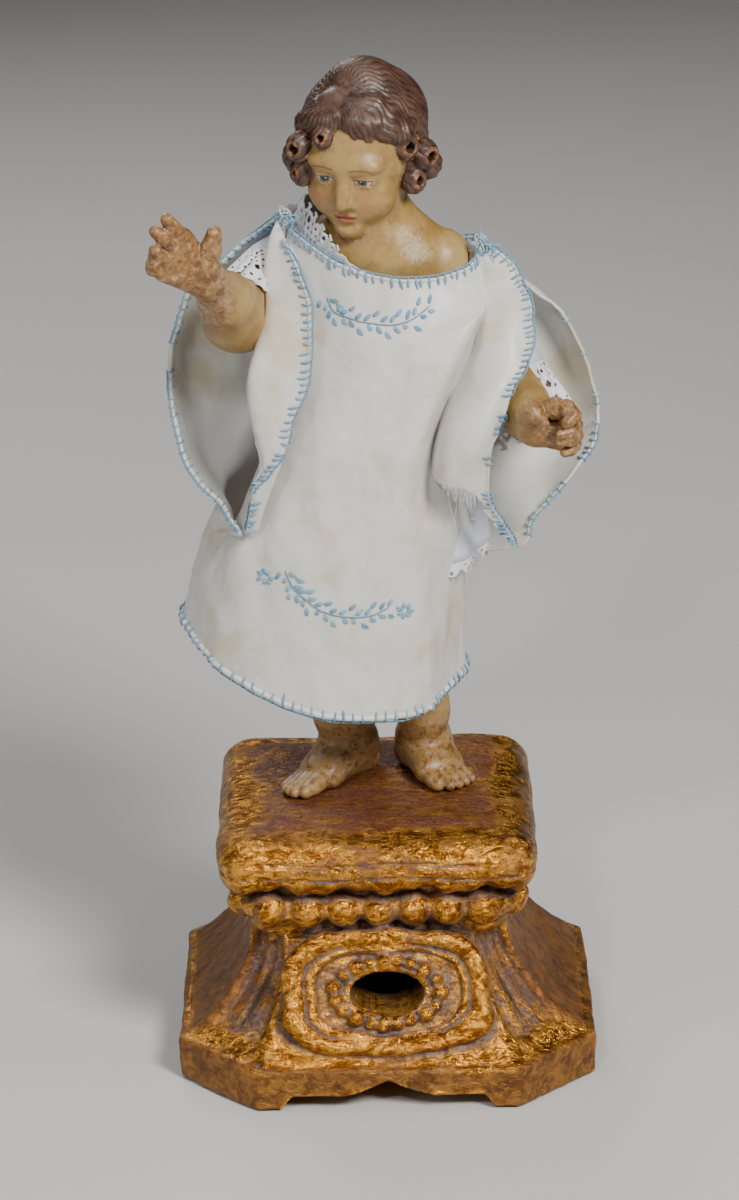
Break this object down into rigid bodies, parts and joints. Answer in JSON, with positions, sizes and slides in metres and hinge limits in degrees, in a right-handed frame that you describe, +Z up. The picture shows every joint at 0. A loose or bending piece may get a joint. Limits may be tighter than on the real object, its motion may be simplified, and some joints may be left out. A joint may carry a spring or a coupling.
{
  "type": "dressed wooden child figure on a pedestal",
  "caption": "Carved and painted wooden standing child with a raised hand, dressed in a stitched satin robe over a lace-edged under-dress, on a gilded carved pedestal.",
  "frame": {"origin": "centre of the pedestal's underside, on the surface it stands on", "axes": "+Z up; -Y is the front, where the relic window is; +X is the viewer's right, the side of the closed left hand"},
  "size_m": [0.1707, 0.166, 0.4071],
  "materials": {
    "gilt_wood": "water gilding over red-brown bole, burnished and worn, with blue-grey dirt in the hollows",
    "painted_wood": "aged glossy flesh paint with chips and cracks, and dark brown painted hair",
    "white_cotton": "thin white cotton with lace edging",
    "satin": "off-white satin with cream stains, soft sheen",
    "blue_thread": "blue cotton embroidery thread"
  },
  "bodies": {
    "root": {"pedestal": "gilt_wood", "figure": "painted_wood", "chemise": "white_cotton", "robe": "satin"}
  },
  "joints": []
}
